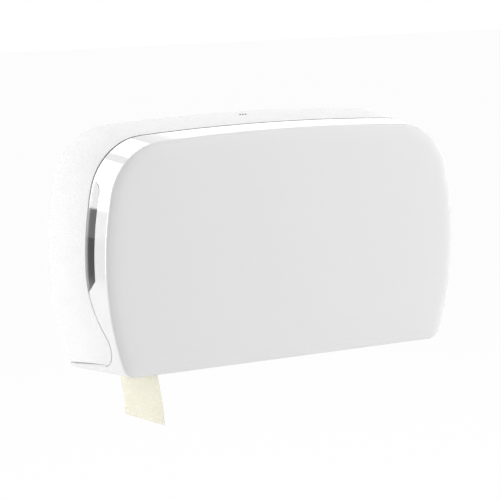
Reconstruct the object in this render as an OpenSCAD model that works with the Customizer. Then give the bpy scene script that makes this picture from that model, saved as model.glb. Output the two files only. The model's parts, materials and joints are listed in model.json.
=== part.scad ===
// Twin-roll washroom paper dispenser for a wall.
// A textured rear shell is screwed to the wall. A glossy cover frame with a matt front panel swings
// down on two hinge pins at the bottom, and two rolls turn on axles that stand on the shell's back.
// Depth is measured from the wall towards the room (-Y) and height from the underside of the case.
// The origin is the centre of the wall-screw pattern, on the wall plane.

/* [Case] */
// Width of the case at the wall
case_w = 504; // [480:1:530]
// Height of the case at the wall
case_h = 277; // [270:1:295]
// Depth at which the sloping sides end and the front panel starts
band_depth = 105; // [104:1:112]
// How far each side has drawn in at that depth
draft_in = 11.5; // [8:0.5:15]
// Radius of the almost flat top
top_r = 3060; // [1800:10:3600]
// Radius of the bulging sides
side_r = 374; // [340:1:420]
// Height at which the case is widest
widest_h = 133; // [124:1:145]
// Radius of the two upper corners
upper_corner_r = 74; // [60:1:80]
// Radius of the two lower corners at the wall
lower_corner_r = 9; // [8:1:16]
// Radius of the two lower corners where the front panel starts
front_corner_r = 18; // [12:1:24]
// Thickness of the moulded walls
wall_t = 2.8; // [2.2:0.1:3.2]
// Thickness of the shell's back plate
back_t = 3; // [2.5:0.1:4]

/* [Seam] */
// Depth of the seam between shell and cover along the top and the upper sides
seam_depth = 67.4; // [66:0.2:71]
// Width of the seam
seam_gap = 1.2; // [1:0.1:1.6]
// Height at which the side seam starts to sweep forward
sweep_h = 118; // [110:1:126]
// Depth that the shell's lower lobe reaches
lobe_front = 91.5; // [89:0.5:94]
// Radius of that lobe
lobe_r = 24; // [23:0.5:26]
// Height of the lobe's centre
lobe_h = 34.5; // [33:0.5:37]
// Height of the lower seam at the wall
lip_h = 7.4; // [7.4:0.1:9]

/* [Front panel] */
// Width of the panel's rounded edge
panel_round_w = 8; // [6:0.5:10]
// Depth of the panel's rounded edge
panel_round_d = 3.6; // [3:0.1:5]
// Crown of the panel from its rounded edge to the middle
panel_crown = 1.4; // [1:0.1:2.5]
// Thickness of the panel
panel_t = 2.6; // [2:0.1:2.8]
// Width of the flange in the cover frame that carries the panel
flange_w = 14; // [12:0.5:16]
// Thickness of that flange
flange_t = 3; // [2.5:0.1:3.5]

/* [Windows] */
// Depth at which the level windows end
window_front = 85; // [83:0.5:90]
// Height of the windows' top
window_top = 217; // [210:1:225]
// Height of the windows' lowest point, at the seam
window_low = 91; // [90:1:100]
// Radius of the windows' upper corner
window_r = 12.5; // [8:0.5:14]

/* [Rolls] */
// Width of the paper and of the sheet that hangs out
paper_w = 84; // [76:1:85]
// Radius of the roll in use
used_roll_r = 62; // [52:1:66]
// Radius of the full reserve roll
full_roll_r = 95; // [85:1:97]
// Distance of each axle from the side of the case
roll_in = 133; // [131:1:136]
// Height of the axles
roll_h = 130; // [126:1:140]
// Depth at which the paper starts
roll_back = 13; // [13:0.5:14]
// Outer radius of the cardboard cores
core_r = 31.5; // [28:0.5:34]
// Thickness of the cardboard
core_t = 1.5; // [1:0.1:2]
// Radius of the fixed axles
axle_r = 6; // [5:0.1:7]
// Radius of the axle's seat on the shell
axle_flange_r = 26; // [24:0.5:28]

/* [Hanging sheet] */
// Length that hangs below the case
sheet_drop = 60; // [40:0.5:80]
// How far the sheet's free end has swung towards the middle
sheet_swing = 18.1; // [10:0.1:31]
// Thickness of the sheet
sheet_t = 0.6; // [0.5:0.1:1]

/* [Base of the cover] */
// Width of each paper opening
exit_w = 84; // [80:1:86]
// Distance of the openings' outer edges from the side of the case
exit_side = 58; // [56:1:60]
// Depth at which the openings start
exit_back = 11.8; // [11.4:0.1:12.2]
// Depth at which the openings end
exit_front = 98.2; // [98:0.1:99]
// Reach of the saw-tooth edges into the openings
tooth_reach = 4; // [2:0.5:6]
// Pitch of the teeth
tooth_pitch = 5; // [4:0.5:8]
// Thickness of the shutter over the reserve opening
shutter_t = 2; // [1.6:0.1:2.4]

/* [Hinge] */
// Distance of the hinge line from the wall
hinge_d = 6; // [6:0.1:6.4]
// Height of the hinge line
hinge_h = 3.5; // [3.5:0.1:3.8]
// Distance of the two hinges from the side of the case
hinge_side = 100; // [87:1:112]
// Width of the shell's lug in each hinge
lug_w = 16; // [12:1:20]
// Length of each hinge pin
hinge_pin_l = 40; // [36:1:44]
// Radius of the hinge pins
hinge_pin_r = 1.5; // [1.3:0.1:1.6]
// Radius of the knuckles and lugs
knuckle_r = 3.2; // [3.1:0.05:3.3]

/* [Wall fixing] */
// Height of the centre of the wall-screw pattern, where the origin lies
mount_h = 150; // [145:1:155]
// Spacing of the wall screws across
mount_w = 340; // [320:2:360]
// Spacing of the wall screws upward
mount_rise = 120; // [110:2:130]
// Radius of the wall-screw holes
mount_hole_r = 2.75; // [2.25:0.25:3.25]

/* [Lock] */
// Depth of the row of key holes in the top
key_d = 20; // [20:0.5:26]
// Pitch of the key holes
key_pitch = 3.8; // [3.4:0.1:4.4]
// Radius of the key holes
key_r = 0.9; // [0.7:0.1:1.1]
// Half the width of the lock housing
lock_half = 20.5; // [18:0.5:22]
// How far the lock housing's underside lies below the top of the case
lock_drop = 41; // [38:1:46]
// How far the striker's underside lies below the top of the case
striker_drop = 17; // [16.5:0.5:18]
// Travel of the latch from released to locked
latch_travel = 7; // [6:0.5:7]

/* [Hidden] */

smooth = 64;        // segments of a round piece
over = 1;           // how far a cut runs past the face that it opens
bite = 0.4;         // how deep a boss is rooted in the wall that it stands on
fit = 0.05;         // radial clearance of a running or screwed fit
play = 0.3;         // clearance between pieces that slide or lie side by side
least_r = 5;        // smallest radius that a drawn-in lower corner keeps
base_z = -mount_h;
roll_x = case_w / 2 - roll_in;
hinge_x = case_w / 2 - hinge_side;

// depths along an axle, from the wall towards the room
pad_t = 3;
pad_front = back_t + pad_t;
axle_flange_t = 3;
flange_front = pad_front + axle_flange_t;
hub_back = roll_back - 1.5;
roll_front = roll_back + paper_w;
cap_back = roll_front + 0.8;
cap_t = 3.2;
cap_r = 10;
hub_sleeve_r = axle_r + 3;
hub_flange_r = core_r + 3;
hub_rib_t = 2;
hub_rim_w = 2.2;
hub_rib_front = roll_front - 6;
washer_r = axle_r + 6;

// fasteners: shaft radius, head radius and head thickness
screw_r = 1.6;
screw_head_r = 3;
screw_head_t = 1.8;
screw_bite = 3.6;
screw_spare = 0.5;   // how much deeper than the screw its hole runs
axle_screw_circle = axle_flange_r - 7;
panel_boss_h = panel_round_d - 0.8;
panel_screw_in = flange_w - 4.6;
panel_screw_side = [102, 48];   // distance of the outer screws from the side of the case, at the top and low down
mount_boss_r = 9;
mount_boss_t = 2;

// base of the cover
exit_out = case_w / 2 - exit_side;
exit_in = exit_out - exit_w;
rail_t = 1.4;
rail_lip = 1.6;
bar_t = 1.2;
bar_w = 10;
shutter_low = wall_t + bar_t + play;
shutter_top = shutter_low + shutter_t;
shutter_over = 1.8;
shutter_travel = exit_w + 2 * shutter_over + 12;
rail_back = [exit_back - rail_t - 0.8, exit_back - 0.8];
rail_front = [exit_front + 0.8, exit_front + 0.8 + rail_t];
grip_w = 10;
grip_t = 3;
grip_d = (exit_back + exit_front) / 2;
grip_in = exit_in + 4;
bar_screw_x = exit_out + bar_w - 4.5;
bar_screw_d = [exit_back + 12, exit_front - 12];
hinge_sweep_r = hinge_h + 0.4;
lug_top = 16;

// lock
lock_t = 2.5;
lock_low = case_h - lock_drop;
lock_top = case_h - 11;
lock_front = 58;
striker_h = case_h - striker_drop;
latch_low = lock_low + lock_t + play;
latch_t = 3;
post_top = top_at(key_d) - wall_t - latch_travel - play;
nose_d = [46, 52];
nose_half = 6;
nose_top = striker_h - 2.5;
striker_t = 2.5;
striker_half = 12;
striker_back = 39;
striker_front = 91;
striker_boss_back = 73;
striker_screw_x = [-6, 6];
striker_screw_d = 84;
lock_ear_w = 11;
lock_plate_h = 26;
lock_screw_x = lock_half + lock_ear_w / 2;
lock_screw_h = lock_low + lock_plate_h / 2;

// ---- points of the shared curves ----

function arc(c, r, from, to, steps) =
    [for (i = [0:steps]) let (a = from + (to - from) * i / steps) c + r * [cos(a), sin(a)]];

function mirrored(points) = [for (i = [len(points) - 1:-1:0]) [-points[i].x, points[i].y]];

// where a circle round p meets a circle round q, on the side to the right of the way from p to q
function meet(p, rp, q, rq) =
    let (v = q - p, d = norm(v), a = (rp * rp - rq * rq + d * d) / (2 * d), h = sqrt(rp * rp - a * a))
    p + v * a / d + [v.y, -v.x] * h / d;

// outline of the case at the wall, drawn in by g: top arc, corner arc, side arc, corner arc, flat base
function outline(g, corner_r) =
    let (
        low_r = max(corner_r - g, least_r),
        top_c = [0, case_h - top_r],
        side_c = [case_w / 2 - side_r, widest_h],
        up_c = meet(top_c, top_r - upper_corner_r, side_c, side_r - upper_corner_r),
        reach = side_r - g - low_r,
        drop = g + low_r - widest_h,
        low_c = [side_c.x + sqrt(reach * reach - drop * drop), g + low_r],
        a_top = atan2(up_c.y - top_c.y, up_c.x - top_c.x),
        a_up = atan2(up_c.y - side_c.y, up_c.x - side_c.x),
        a_low = atan2(low_c.y - side_c.y, low_c.x - side_c.x),
        half = concat(
            arc(top_c, top_r - g, 90 - (90 - a_top) / 6, a_top, 5),
            arc(up_c, upper_corner_r - g, a_top + (a_up - a_top) / 14, a_up, 13),
            arc(side_c, side_r - g, a_up + (a_low - a_up) / 12, a_low, 11),
            arc(low_c, low_r, a_low + (-90 - a_low) / 8, -90, 7)
        )
    )
    concat([[0, case_h - g]], half, mirrored(half));

// the case shrinks evenly towards its base line as the depth grows, and its lower corners grow rounder
function scale_at(depth) = 1 - 2 * draft_in / case_w * depth / band_depth;

function corner_at(depth) = lower_corner_r + (front_corner_r - lower_corner_r) * min(depth / band_depth, 1);

// the case's outline at a depth, drawn in by g, as a flat shape and as a ring of points
function section(g, depth) = scale_at(min(depth, band_depth)) * outline(g, corner_at(depth));

function ring(g, depth) = [for (p = section(g, depth)) [p.x, -depth, base_z + p.y]];

function top_at(depth) = case_h * scale_at(depth);

lobe_c = [lobe_front - lobe_r, lobe_h];
lobe_step = [seam_depth - lobe_c.x, sweep_h - lobe_c.y];
sweep_r = (lobe_step * lobe_step - lobe_r * lobe_r) / (2 * (lobe_r - lobe_step.x));
sweep_a = asin(lobe_step.y / (sweep_r + lobe_r));
heel_v = lobe_c - [0, lip_h];
heel_a = atan2(heel_v.y, heel_v.x) - asin(lobe_r / norm(heel_v));

// side view of the shell, grown by g: a straight seam, a sweep forward, a lobe and a lip back to the wall
function seam_profile(g = 0) =
    let (
        sweep_c = [seam_depth + sweep_r, sweep_h],
        heel = lobe_c + (lobe_r + g) * [sin(heel_a), -cos(heel_a)]
    )
    concat(
        [[-over, case_h + 20], [seam_depth + g, case_h + 20]],
        [for (i = [0:10]) let (a = sweep_a * i / 10) sweep_c - (sweep_r - g) * [cos(a), sin(a)]],
        arc(lobe_c, lobe_r + g, sweep_a - (sweep_a + 90 - heel_a) / 14, heel_a - 90, 13),
        [[-over, heel.y - (heel.x + over) * tan(heel_a)]]
    );

// side view of a level window, drawn in by g, open towards the seam
function window_profile(g = 0) =
    let (
        front = window_front - g,
        top = window_top - g,
        low = window_low + g * sqrt(2),
        behind = seam_depth - 4
    )
    concat(
        [[behind, top]],
        arc([front - window_r, top - window_r], window_r, 90, 0, 6),
        [[front, low + front - seam_depth], [behind, low + behind - seam_depth]]
    );

// course of the hanging sheet: upright below the roll, then bending towards the middle, then upright
sheet_top_x = roll_x + used_roll_r + play + sheet_t / 2;
sheet_steps = 20;
sheet_bend = 0.35;   // share of the sheet's way down at which it starts to bend
function sheet_x(h) =
    let (t = (roll_h - h) / (roll_h + sheet_drop), b = max(t - sheet_bend, 0) / (1 - sheet_bend))
    -(sheet_top_x - sheet_swing * b * b * (3 - 2 * b));
function sheet_side(offset) =
    [for (i = [0:sheet_steps])
        let (h = roll_h - (roll_h + sheet_drop) * i / sheet_steps) [sheet_x(h) + offset, h]];

// ---- placing helpers ----

// a flat shape in width and height, raised from the wall towards the room
module from_wall(depth = 0) translate([0, -depth, base_z]) rotate([90, 0, 0]) children();

// a side view in depth and height, drawn out over a width
module across(width, x = 0)
    translate([x, 0, base_z]) rotate([90, 0, -90]) linear_extrude(height = width, center = true) children();

// a round piece along the depth
module round_along(x, h, from, to, r)
    from_wall(from) translate([x, h, 0]) cylinder(r = r, h = to - from, $fn = smooth);

// an upright round piece
module round_up(x, depth, from, to, r)
    translate([x, -depth, base_z + from]) cylinder(r = r, h = to - from, $fn = smooth);

// a round piece along the width, centred on x
module round_over(x, depth, h, length, r)
    across(length, x) translate([depth, h]) circle(r = r, $fn = smooth);

module block(x, depth, h)
    translate([x[0], -depth[1], base_z + h[0]]) cube([x[1] - x[0], depth[1] - depth[0], h[1] - h[0]]);

// rings of points, from the back to the front, joined into one closed form
module loft(rings) {
    n = len(rings[0]);
    last = len(rings) - 1;
    polyhedron(
        points = [for (ring = rings) each ring],
        faces = concat(
            [[for (i = [n - 1:-1:0]) i]],
            [for (k = [0:last - 1], i = [0:n - 1])
                let (a = k * n + i, b = k * n + (i + 1) % n) each [[a, b, b + n], [a, b + n, a + n]]],
            [[for (i = [0:n - 1]) last * n + i]]
        ),
        convexity = 4
    );
}

// the case's outer form, drawn in by g, between two depths
module tapered(g, from, to) loft([ring(g, from), ring(g, to)]);

module seam_solid(g = 0) across(case_w + 20) polygon(seam_profile(g));

// a pan-head screw whose shaft starts at the origin and runs down
module screw(length, r = screw_r) {
    difference() {
        union() {
            translate([0, 0, -length]) cylinder(r = r, h = length + screw_head_t / 2, $fn = smooth);
            cylinder(r = screw_head_r, h = screw_head_t * 0.6, $fn = smooth);
            translate([0, 0, screw_head_t * 0.6])
                cylinder(r1 = screw_head_r, r2 = screw_head_r * 0.72, h = screw_head_t * 0.4, $fn = smooth);
        }
        for (turn = [0, 90])
            rotate([0, 0, turn])
                translate([-screw_head_r * 0.55, -0.3, screw_head_t * 0.45])
                    cube([screw_head_r * 1.1, 0.6, screw_head_t]);
    }
}

// screws that point at the wall, with the underside of the head at a depth
module screw_at_wall(x, h, depth, length)
    translate([x, -depth, base_z + h]) rotate([90, 0, 0]) screw(length);

// ---- rear shell ----

module axle_screw_places(x)
    for (i = [0:2])
        let (a = 90 + 120 * i)
            translate([x + axle_screw_circle * cos(a), 0, base_z + roll_h + axle_screw_circle * sin(a)])
                children();

module shell_body() {
    difference() {
        intersection() {
            tapered(0, 0, lobe_front + over);
            seam_solid();
        }
        tapered(wall_t, back_t, lobe_front + 2 * over);
    }
}

module hinge_lug(x)
    across(lug_w, x) {
        translate([hinge_d, hinge_h]) circle(r = knuckle_r, $fn = smooth);
        translate([hinge_d - knuckle_r + 0.6, hinge_h]) square([2 * knuckle_r - 1.2, lug_top - hinge_h]);
        translate([back_t - bite, lug_top - 6]) square([hinge_d - back_t, 6]);
    }

module rear_shell() color("white") {
    difference() {
        union() {
            shell_body();
            for (x = [-roll_x, roll_x])
                round_along(x, roll_h, back_t - bite, pad_front, axle_flange_r + 2);
            for (x = [-1, 1], z = [-1, 1])
                round_along(x * mount_w / 2, mount_h + z * mount_rise / 2,
                    back_t - bite, back_t + mount_boss_t, mount_boss_r);
            block([-lock_half - lock_ear_w - 2, lock_half + lock_ear_w + 2], [back_t - bite, pad_front],
                [lock_low - 2, lock_low + lock_plate_h + 2]);
            for (x = [-hinge_x, hinge_x]) hinge_lug(x);
        }
        for (x = [-1, 1], z = [-1, 1])
            round_along(x * mount_w / 2, mount_h + z * mount_rise / 2, -over, pad_front + over, mount_hole_r);
        for (x = [-roll_x, roll_x])
            axle_screw_places(x)
                translate([0, -pad_front - over, 0]) rotate([-90, 0, 0])
                    cylinder(r = screw_r + fit, h = screw_bite + screw_spare + over, $fn = smooth);
        for (x = [-1, 1])
            round_along(x * lock_screw_x, lock_screw_h,
                pad_front - screw_bite - screw_spare, pad_front + over, screw_r + fit);
        for (x = [-1:1])
            round_up(x * key_pitch, key_d, top_at(key_d) - 2 * wall_t, case_h + over, key_r);
        for (x = [-hinge_x, hinge_x])
            round_over(x, hinge_d, hinge_h, lug_w + 2 * over, hinge_pin_r + fit);
    }
}

// ---- axles, brake washers and caps ----

module axle(x) color("silver")
    difference() {
        union() {
            round_along(x, roll_h, pad_front, flange_front, axle_flange_r);
            round_along(x, roll_h, pad_front, cap_back + cap_t - 1, axle_r);
            from_wall(cap_back + cap_t - 1) translate([x, roll_h, 0])
                cylinder(r1 = axle_r, r2 = axle_r - 0.8, h = 1, $fn = smooth);
        }
        axle_screw_places(x)
            translate([0, -flange_front - over, 0]) rotate([-90, 0, 0])
                cylinder(r = screw_r + 4 * fit, h = axle_flange_t + 2 * over, $fn = smooth);
    }

module axle_left() axle(-roll_x);
module axle_right() axle(roll_x);

module axle_screws() color("gray")
    for (x = [-roll_x, roll_x])
        axle_screw_places(x)
            translate([0, -flange_front, 0]) rotate([90, 0, 0]) screw(axle_flange_t + screw_bite);

module brake_washer(x) color("dimgray")
    difference() {
        round_along(x, roll_h, flange_front, hub_back - fit, washer_r);
        round_along(x, roll_h, flange_front - over, hub_back + over, axle_r + fit);
    }

module brake_washer_left() brake_washer(-roll_x);
module brake_washer_right() brake_washer(roll_x);

module axle_cap(x) color("lightgray")
    difference() {
        union() {
            round_along(x, roll_h, cap_back, cap_back + cap_t - 0.8, cap_r);
            from_wall(cap_back + cap_t - 0.8) translate([x, roll_h, 0])
                cylinder(r1 = cap_r, r2 = cap_r - 1.5, h = 0.8, $fn = smooth);
        }
        round_along(x, roll_h, cap_back - over, cap_back + cap_t + over, axle_r + fit);
    }

module axle_cap_left() axle_cap(-roll_x);
module axle_cap_right() axle_cap(roll_x);

// ---- rolls ----

// hub with a rear flange, ribs that fill the core and a running bore for the axle
module hub(x) color("gainsboro")
    difference() {
        union() {
            round_along(x, roll_h, hub_back, roll_front, hub_sleeve_r);
            round_along(x, roll_h, hub_back, roll_back, hub_flange_r);
            intersection() {
                round_along(x, roll_h, roll_back - bite, hub_rib_front, core_r - core_t - play);
                for (i = [0:5])
                    translate([x, 0, base_z + roll_h]) rotate([0, 60 * i, 0])
                        translate([0, -hub_rib_front, -hub_rib_t / 2])
                            cube([core_r, hub_rib_front - roll_back + bite, hub_rib_t]);
            }
            difference() {
                round_along(x, roll_h, hub_rib_front - 4, hub_rib_front, core_r - core_t - play);
                round_along(x, roll_h, hub_rib_front - 4 - over, hub_rib_front + over,
                    core_r - core_t - play - hub_rim_w);
            }
        }
        round_along(x, roll_h, hub_back - over, roll_front + over, axle_r + fit);
    }

module hub_left() hub(-roll_x);
module hub_right() hub(roll_x);

module sleeve(x, inner, outer, from, to)
    difference() {
        round_along(x, roll_h, from, to, outer);
        round_along(x, roll_h, from - over, to + over, inner);
    }

module core_left() color("tan") sleeve(-roll_x, core_r - core_t, core_r, roll_back, roll_front);
module core_right() color("tan") sleeve(roll_x, core_r - core_t, core_r, roll_back, roll_front);
module roll_left() color("ivory") sleeve(-roll_x, core_r + fit, used_roll_r, roll_back, roll_front);
module roll_right() color("ivory") sleeve(roll_x, core_r + fit, full_roll_r, roll_back, roll_front);

module paper_sheet() color("ivory")
    from_wall(roll_back)
        linear_extrude(height = paper_w)
            polygon(concat(sheet_side(-sheet_t / 2), mirrored_order(sheet_side(sheet_t / 2))));

function mirrored_order(points) = [for (i = [len(points) - 1:-1:0]) points[i]];

// ---- lock ----

module lock_housing() color("darkgray")
    difference() {
        union() {
            block([-lock_half, lock_half], [pad_front, lock_front], [lock_low, lock_low + lock_t]);
            for (x = [-1, 1])
                block([x > 0 ? lock_half - lock_t : -lock_half, x > 0 ? lock_half : lock_t - lock_half],
                    [pad_front, lock_front], [lock_low, lock_top]);
            block([-lock_half - lock_ear_w, lock_half + lock_ear_w], [pad_front, pad_front + lock_t],
                [lock_low, lock_low + lock_plate_h]);
        }
        for (x = [-1, 1])
            round_along(x * lock_screw_x, lock_screw_h,
                pad_front - over, pad_front + lock_t + over, screw_r + 4 * fit);
    }

module lock_screws() color("gray")
    for (x = [-1, 1])
        screw_at_wall(x * lock_screw_x, lock_screw_h, pad_front + lock_t, lock_t + screw_bite);

// bar that the key's pins press down to the housing's floor and that rises through the striker to lock
module latch_bar() color("orange") {
    half = lock_half - lock_t - play;
    block([-half, half], [pad_front + lock_t + play, lock_front - 2], [latch_low, latch_low + latch_t]);
    block([-nose_half, nose_half], nose_d, [latch_low, nose_top]);
    for (x = [-1:1])
        round_up(x * key_pitch, key_d, latch_low + latch_t - bite, post_top, key_pitch / 2 - 0.2);
    block([-half, half], [lock_front - 6, lock_front - 2], [latch_low, latch_low + 6]);
}

// ---- cover ----

module exit_cut(side)
    block([side > 0 ? exit_in : -exit_out, side > 0 ? exit_out : -exit_in],
        [exit_back, exit_front], [-over, wall_t + 2 * over]);

// corner of the base behind the hinge line, cut back so that it clears the wall and the shell as it turns
module hinge_relief()
    across(case_w + 20)
        difference() {
            translate([-over, -over]) square([hinge_d + over, lip_h + 2 * over]);
            translate([hinge_d, hinge_h]) circle(r = hinge_sweep_r, $fn = smooth);
            translate([hinge_d - 0.01, -2 * over]) square([over, lip_h + 4 * over]);
        }

module cover_knuckles(x)
    difference() {
        across(hinge_pin_l, x) {
            translate([hinge_d, hinge_h]) circle(r = knuckle_r, $fn = smooth);
            translate([hinge_d, hinge_h - knuckle_r])
                square([exit_back - hinge_d - 1, wall_t - hinge_h + knuckle_r]);
        }
        block([x - lug_w / 2 - play, x + lug_w / 2 + play], [-over, exit_back], [-over, lug_top]);
    }

module window_cut(g)
    across(case_w + 20) polygon(window_profile(g));

module frame_body()
    difference() {
        tapered(0, 0, band_depth);
        tapered(wall_t, -over, band_depth - flange_t);
        from_wall(band_depth - flange_t - over)
            linear_extrude(height = flange_t + 2 * over) polygon(section(flange_w, band_depth));
        seam_solid(seam_gap);
    }

// channel that holds one long edge of the shutter between a ledge and a lip
module shutter_rail(depth, lip_depth) {
    x = [exit_in - shutter_over - shutter_travel - 1, exit_out + shutter_over + 1];
    block(x, depth, [wall_t - bite, shutter_top + play + rail_t]);
    block(x, lip_depth, [wall_t - bite, shutter_low - 2 * fit]);
    block(x, lip_depth, [shutter_top + play, shutter_top + play + rail_t]);
}

module cover_frame() color("snow")
    difference() {
        union() {
            difference() {
                frame_body();
                window_cut(0);
                exit_cut(-1);
                exit_cut(1);
                hinge_relief();
                for (x = [-hinge_x, hinge_x])
                    block([x - lug_w / 2 - play, x + lug_w / 2 + play],
                        [-over, exit_back - 1], [-over, lip_h + over]);
                block([grip_in - shutter_travel - play, exit_in + over],
                    [grip_d - grip_w / 2 - play, grip_d + grip_w / 2 + play], [-over, wall_t + over]);
            }
            for (x = [-hinge_x, hinge_x]) cover_knuckles(x);
            shutter_rail(rail_back, [rail_back[0], rail_back[1] + rail_lip]);
            shutter_rail(rail_front, [rail_front[0] - rail_lip, rail_front[1]]);
            difference() {
                block([-striker_half, striker_half], [striker_boss_back, striker_front + 2],
                    [striker_h + striker_t, top_at(striker_boss_back) - wall_t / 2]);
                difference() {
                    block([-case_w / 2, case_w / 2], [0, band_depth], [striker_h, case_h + over]);
                    tapered(wall_t / 2, -over, band_depth);
                }
            }
        }
        for (x = [-hinge_x, hinge_x])
            round_over(x, hinge_d, hinge_h, hinge_pin_l + 2 * over, hinge_pin_r + fit);
        for (x = striker_screw_x)
            round_up(x, striker_screw_d, striker_h, striker_h + striker_t + screw_bite - 0.4, screw_r + fit);
        for (i = [0:1], x = [-1, 1])
            round_up(x * bar_screw_x, bar_screw_d[i], wall_t - 2, wall_t + over, screw_r + fit);
        panel_screw_places()
            cylinder(r = screw_r + 4 * fit, h = 3 * flange_t, center = true, $fn = smooth);
    }

module hinge_pins() color("silver")
    for (x = [-hinge_x, hinge_x]) round_over(x, hinge_d, hinge_h, hinge_pin_l, hinge_pin_r);

// the panel's domed form, drawn in by g and set back by the same amount
module panel_form(g, back)
    loft(concat(
        back < band_depth ? [ring(g, back)] : [],
        [for (a = [0:22.5:90])
            ring(g + panel_round_w * (1 - cos(a)), band_depth + (panel_round_d - g) * sin(a))],
        [for (step = [[17, 0.7], [35, 1]])
            ring(g + panel_round_w + step[0], band_depth + panel_round_d - g + panel_crown * step[1])]
    ));

module front_panel() color("whitesmoke")
    difference() {
        union() {
            difference() {
                panel_form(0, band_depth);
                panel_form(panel_t, band_depth - over);
            }
            panel_screw_places() cylinder(r = screw_r + 1.8, h = panel_boss_h, $fn = smooth);
        }
        panel_screw_places()
            translate([0, 0, -over]) cylinder(r = screw_r + fit, h = over + panel_boss_h - 0.5, $fn = smooth);
    }

// six places on the flange, each with the panel's side up
module panel_screw_places()
    for (side = [-1:1], top = [0, 1])
        let (
            x = side * (case_w / 2 - panel_screw_side[1 - top]),
            h = top > 0 ? scale_at(band_depth) * (flange_top(x) - panel_screw_in) : panel_screw_in
        )
        from_wall(band_depth) translate([x, h, 0]) children();

function flange_top(x) = case_h - top_r + sqrt(top_r * top_r - x * x);

module panel_screws() color("gray")
    panel_screw_places()
        translate([0, 0, -flange_t]) rotate([180, 0, 0]) screw(flange_t + panel_boss_h - 0.9);

module window(side) color("dimgray")
    intersection() {
        difference() {
            tapered(0.1, 0, band_depth);
            tapered(wall_t - 0.1, -over, band_depth + over);
            seam_solid(seam_gap + 0.1);
        }
        window_cut(play / 2);
        block([side > 0 ? 0 : -case_w, side > 0 ? case_w : 0], [0, band_depth], [0, case_h]);
    }

module window_left() window(-1);
module window_right() window(1);

// strip beside an opening with saw teeth that reach over its edge
module tear_bar(side) color("silver") {
    from = exit_back + 1;
    count = floor((exit_front - 1 - from) / tooth_pitch);
    teeth = [for (i = [0:count - 1], j = [0, 1])
        [exit_out - tooth_reach * j, from + (i + j / 2) * tooth_pitch]];
    difference() {
        translate([0, 0, base_z + wall_t]) mirror([side > 0 ? 0 : 1, 0, 0])
            linear_extrude(height = bar_t)
                mirror([0, 1])
                    polygon(concat(
                        [[exit_out + bar_w, from]],
                        teeth,
                        [for (x = [exit_out, exit_out + bar_w]) [x, from + count * tooth_pitch]]
                    ));
        for (d = bar_screw_d)
            round_up(side * bar_screw_x, d, wall_t - over, wall_t + bar_t + over, screw_r + 2 * fit);
    }
}

module tear_bar_left() tear_bar(-1);
module tear_bar_right() tear_bar(1);

module tear_bar_screws() color("gray")
    for (x = [-1, 1], d = bar_screw_d)
        translate([x * bar_screw_x, -d, base_z + wall_t + bar_t]) screw(bar_t + 1.7);

module striker() color("silver")
    difference() {
        block([-striker_half + 2, striker_half - 2], [striker_back, striker_front],
            [striker_h, striker_h + striker_t]);
        block([-nose_half - play, nose_half + play], [nose_d[0] - play, nose_d[1] + play],
            [striker_h - over, striker_h + striker_t + over]);
        for (x = striker_screw_x)
            round_up(x, striker_screw_d, striker_h - over, striker_h + striker_t + over, screw_r + 2 * fit);
    }

module striker_screws() color("gray")
    for (x = striker_screw_x)
        translate([x, -striker_screw_d, base_z + striker_h])
            rotate([180, 0, 0]) screw(striker_t + screw_bite - 0.8);

// sliding shutter over the reserve opening, with a finger grip that runs in a slot of the base
module shutter() color("lightgray") {
    block([exit_in - shutter_over, exit_out + shutter_over],
        [rail_back[1] + play, rail_front[0] - play], [shutter_low, shutter_top]);
    block([grip_in, grip_in + grip_t], [grip_d - grip_w / 2, grip_d + grip_w / 2], [0.4, shutter_low + bite]);
}

rear_shell();
axle_left();
axle_right();
axle_screws();
brake_washer_left();
brake_washer_right();
axle_cap_left();
axle_cap_right();
lock_housing();
lock_screws();
hinge_pins();
paper_sheet();
hub_left();
core_left();
roll_left();
hub_right();
core_right();
roll_right();
cover_frame();
front_panel();
panel_screws();
window_left();
window_right();
tear_bar_left();
tear_bar_right();
tear_bar_screws();
striker();
striker_screws();
shutter();
latch_bar();
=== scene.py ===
import json
import math
import random

import bmesh
import bpy
from mathutils import Matrix, Quaternion, Vector


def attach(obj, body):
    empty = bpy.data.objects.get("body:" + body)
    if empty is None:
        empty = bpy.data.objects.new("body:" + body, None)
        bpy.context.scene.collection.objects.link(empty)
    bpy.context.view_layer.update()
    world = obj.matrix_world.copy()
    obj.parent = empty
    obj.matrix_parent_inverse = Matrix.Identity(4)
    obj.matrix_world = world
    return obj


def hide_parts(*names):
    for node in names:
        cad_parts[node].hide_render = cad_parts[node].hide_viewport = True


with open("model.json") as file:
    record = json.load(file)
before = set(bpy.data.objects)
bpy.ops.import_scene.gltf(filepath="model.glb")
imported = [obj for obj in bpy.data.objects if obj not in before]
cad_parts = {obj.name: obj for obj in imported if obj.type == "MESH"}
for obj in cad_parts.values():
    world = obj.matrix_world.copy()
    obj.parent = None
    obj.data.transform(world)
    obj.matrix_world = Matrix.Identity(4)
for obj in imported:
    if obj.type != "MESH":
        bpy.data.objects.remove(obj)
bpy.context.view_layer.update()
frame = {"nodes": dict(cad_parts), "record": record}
print("frame loaded,", len(frame["nodes"]), "solids")

# camera, solved together with the case's outline; right and up shift it from the middle of the case's underside
view = {"azimuth": -34.13, "elevation": 7.57, "roll": -0.84, "distance": 2963, "right": 15.57, "up": 112.91,
        "underside": -150, "focalPixels": 2504.3, "photoWidth": 500, "sensor": 36}


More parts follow.
